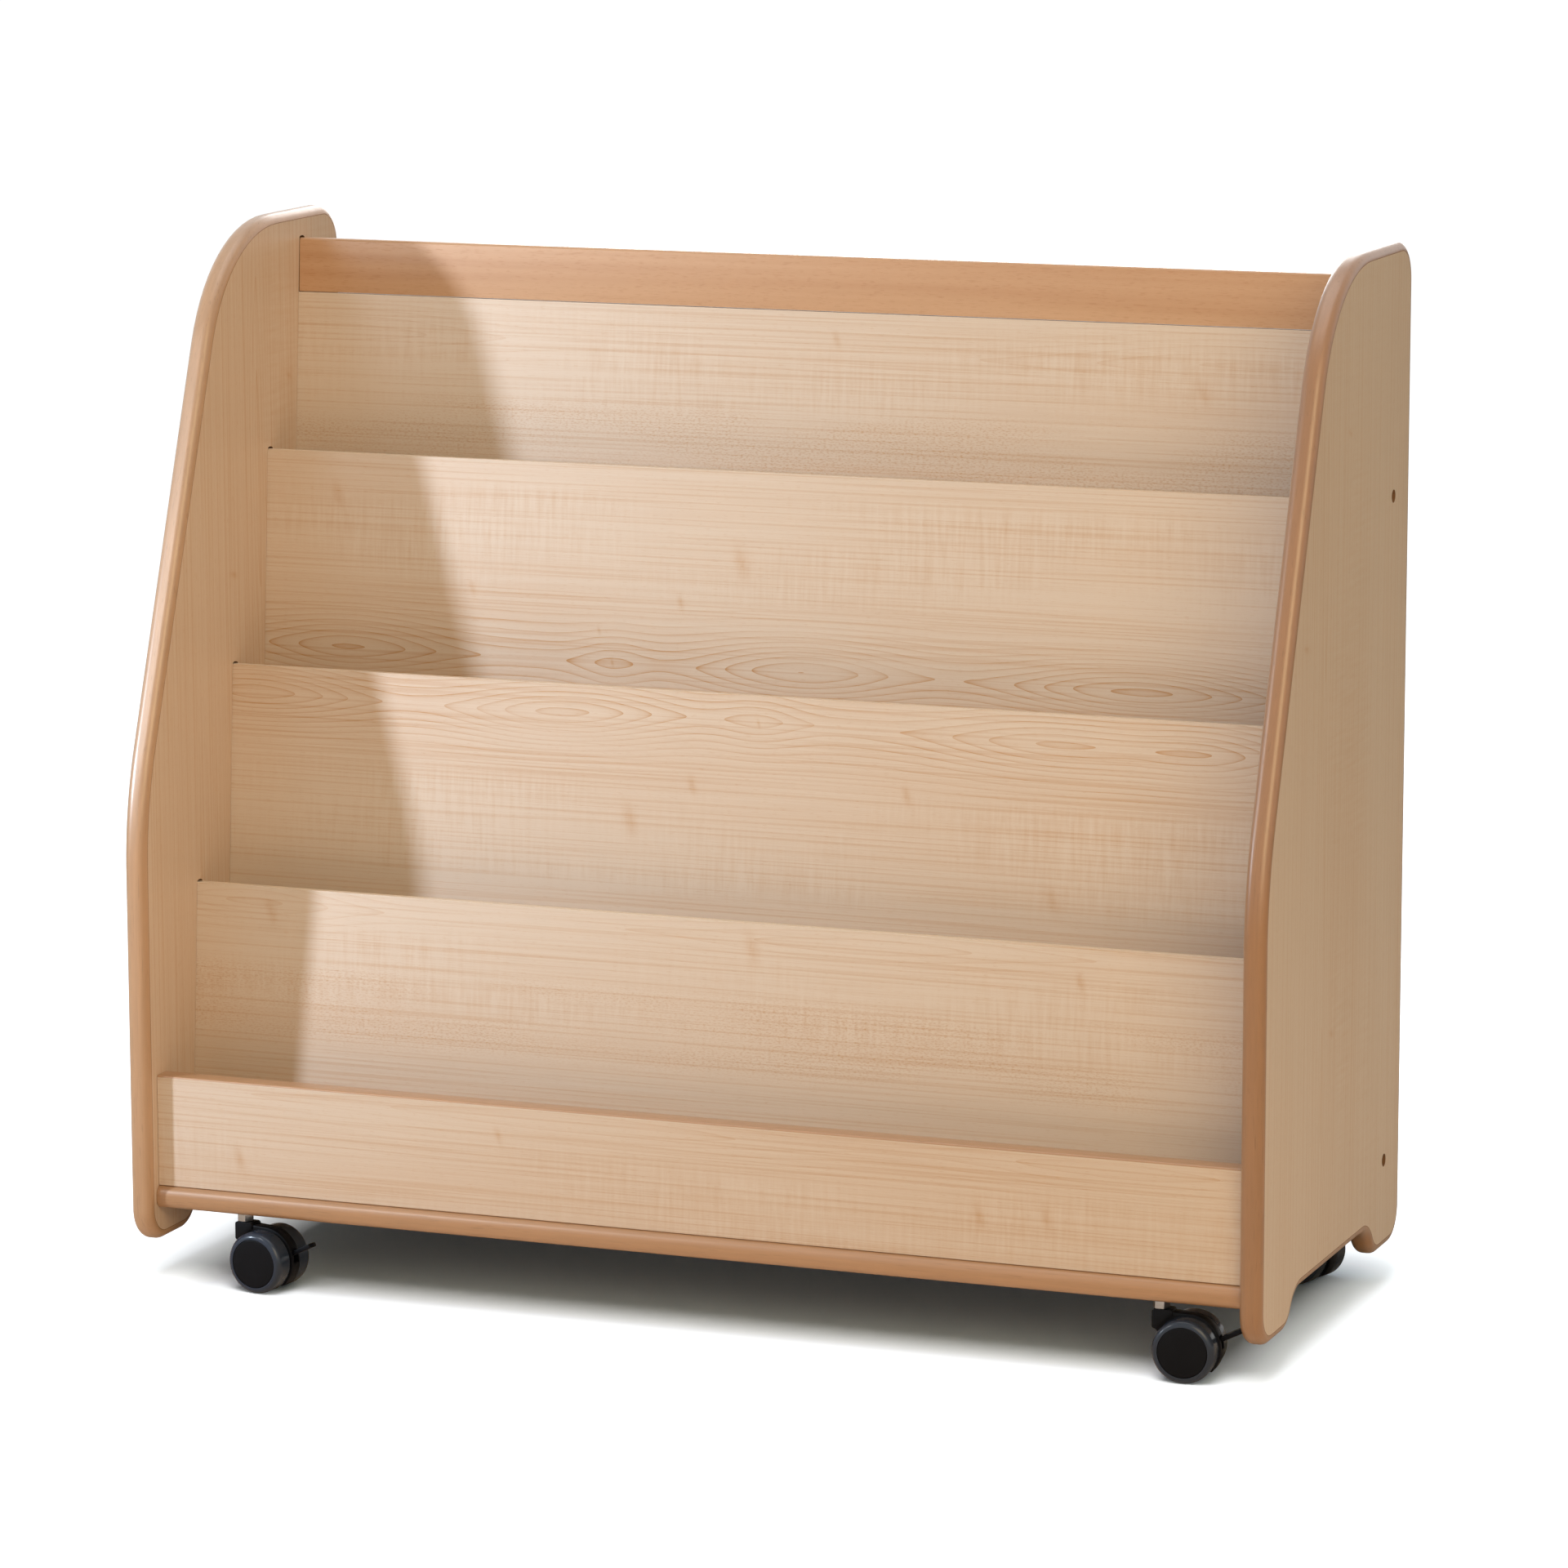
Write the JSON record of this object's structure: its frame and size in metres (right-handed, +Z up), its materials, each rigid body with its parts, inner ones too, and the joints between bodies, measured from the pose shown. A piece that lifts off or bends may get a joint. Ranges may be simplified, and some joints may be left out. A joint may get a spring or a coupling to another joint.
{
  "type": "picture book display unit",
  "caption": "Mobile sloping picture book display: shaped maple side panels, leaning tiered pockets, beech top rail and base shelf on twin-wheel castors with brakes.",
  "frame": {"origin": "on the floor under the middle of the unit", "axes": "+X to the right seen from the front, +Y to the back, +Z up"},
  "size_m": [0.94, 0.382, 0.8335],
  "materials": {
    "maple_board": "satin maple veneer",
    "beech_rail": "satin lacquered beech",
    "dowel_beech": "raw beech",
    "castor_black": "satin black",
    "tyre_grey": "smooth blue-grey",
    "zinc_steel": "zinc plated"
  },
  "bodies": {
    "carcass": {"left_side_panel": "maple_board", "right_side_panel": "maple_board", "top_rail": "beech_rail", "tier_panel_1": "maple_board", "tier_panel_2": "maple_board", "tier_panel_3": "maple_board", "tier_panel_4": "maple_board", "ledge_1": "maple_board", "ledge_2": "maple_board", "ledge_3": "maple_board", "base_shelf": "maple_board", "front_lip": "maple_board", "left_rail_dowel_upper": "dowel_beech", "left_rail_dowel_lower": "dowel_beech", "left_lip_dowel_upper": "dowel_beech", "left_lip_dowel_lower": "dowel_beech", "left_base_dowel_front": "dowel_beech", "left_base_dowel_rear": "dowel_beech", "right_rail_dowel_upper": "dowel_beech", "right_rail_dowel_lower": "dowel_beech", "right_lip_dowel_upper": "dowel_beech", "right_lip_dowel_lower": "dowel_beech", "right_base_dowel_front": "dowel_beech", "right_base_dowel_rear": "dowel_beech", "front_left_insert": "zinc_steel", "front_left_stem": "zinc_steel", "front_right_insert": "zinc_steel", "front_right_stem": "zinc_steel", "rear_left_insert": "zinc_steel", "rear_left_stem": "zinc_steel", "rear_right_insert": "zinc_steel", "rear_right_stem": "zinc_steel"},
    "front_left_castor": {"front_left_housing": "castor_black", "front_left_axle": "zinc_steel"},
    "front_left_near_wheel": {"front_left_near_wheel_hub": "castor_black", "front_left_near_wheel_tyre": "tyre_grey"},
    "front_left_far_wheel": {"front_left_far_wheel_hub": "castor_black", "front_left_far_wheel_tyre": "tyre_grey"},
    "front_left_brake": {"front_left_brake_lever": "castor_black"},
    "front_right_castor": {"front_right_housing": "castor_black", "front_right_axle": "zinc_steel"},
    "front_right_near_wheel": {"front_right_near_wheel_hub": "castor_black", "front_right_near_wheel_tyre": "tyre_grey"},
    "front_right_far_wheel": {"front_right_far_wheel_hub": "castor_black", "front_right_far_wheel_tyre": "tyre_grey"},
    "front_right_brake": {"front_right_brake_lever": "castor_black"},
    "rear_left_castor": {"rear_left_housing": "castor_black", "rear_left_axle": "zinc_steel"},
    "rear_left_near_wheel": {"rear_left_near_wheel_hub": "castor_black", "rear_left_near_wheel_tyre": "tyre_grey"},
    "rear_left_far_wheel": {"rear_left_far_wheel_hub": "castor_black", "rear_left_far_wheel_tyre": "tyre_grey"},
    "rear_right_castor": {"rear_right_housing": "castor_black", "rear_right_axle": "zinc_steel"},
    "rear_right_near_wheel": {"rear_right_near_wheel_hub": "castor_black", "rear_right_near_wheel_tyre": "tyre_grey"},
    "rear_right_far_wheel": {"rear_right_far_wheel_hub": "castor_black", "rear_right_far_wheel_tyre": "tyre_grey"}
  },
  "joints": [
    {"name": "front_left_swivel", "type": "hinge", "parent": "carcass", "child": "front_left_castor", "pos_m": [-0.3829, -0.15995, 0.02469], "axis": [0, 0, 1], "continuous": true},
    {"name": "front_left_near_wheel_spin", "type": "hinge", "parent": "front_left_castor", "child": "front_left_near_wheel", "pos_m": [-0.36114, -0.1632, 0.02469], "axis": [0.1478, 0.989, 0], "continuous": true},
    {"name": "front_left_far_wheel_spin", "type": "hinge", "parent": "front_left_castor", "child": "front_left_far_wheel", "pos_m": [-0.36114, -0.1632, 0.02469], "axis": [0.1478, 0.989, 0], "continuous": true},
    {"name": "front_left_brake_press", "type": "hinge", "parent": "front_left_castor", "child": "front_left_brake", "pos_m": [-0.34828, -0.16512, 0.02589], "axis": [0.1478, 0.989, 0], "range_deg": [0, 22]},
    {"name": "front_right_swivel", "type": "hinge", "parent": "carcass", "child": "front_right_castor", "pos_m": [0.3829, -0.15995, 0.02469], "axis": [0, 0, 1], "continuous": true},
    {"name": "front_right_near_wheel_spin", "type": "hinge", "parent": "front_right_castor", "child": "front_right_near_wheel", "pos_m": [0.40487, -0.1588, 0.02469], "axis": [-0.0523, 0.9986, 0], "continuous": true},
    {"name": "front_right_far_wheel_spin", "type": "hinge", "parent": "front_right_castor", "child": "front_right_far_wheel", "pos_m": [0.40487, -0.1588, 0.02469], "axis": [-0.0523, 0.9986, 0], "continuous": true},
    {"name": "front_right_brake_press", "type": "hinge", "parent": "front_right_castor", "child": "front_right_brake", "pos_m": [0.41785, -0.15812, 0.02589], "axis": [-0.0523, 0.9986, 0], "range_deg": [0, 22]},
    {"name": "rear_left_swivel", "type": "hinge", "parent": "carcass", "child": "rear_left_castor", "pos_m": [-0.3829, 0.15995, 0.02469], "axis": [0, 0, 1], "continuous": true},
    {"name": "rear_left_near_wheel_spin", "type": "hinge", "parent": "rear_left_castor", "child": "rear_left_near_wheel", "pos_m": [-0.36138, 0.15538, 0.02469], "axis": [0.2079, 0.9781, 0], "continuous": true},
    {"name": "rear_left_far_wheel_spin", "type": "hinge", "parent": "rear_left_castor", "child": "rear_left_far_wheel", "pos_m": [-0.36138, 0.15538, 0.02469], "axis": [0.2079, 0.9781, 0], "continuous": true},
    {"name": "rear_right_swivel", "type": "hinge", "parent": "carcass", "child": "rear_right_castor", "pos_m": [0.3829, 0.15995, 0.02469], "axis": [0, 0, 1], "continuous": true},
    {"name": "rear_right_near_wheel_spin", "type": "hinge", "parent": "rear_right_castor", "child": "rear_right_near_wheel", "pos_m": [0.40405, 0.15389, 0.02469], "axis": [0.2756, 0.9613, 0], "continuous": true},
    {"name": "rear_right_far_wheel_spin", "type": "hinge", "parent": "rear_right_castor", "child": "rear_right_far_wheel", "pos_m": [0.40405, 0.15389, 0.02469], "axis": [0.2756, 0.9613, 0], "continuous": true}
  ]
}
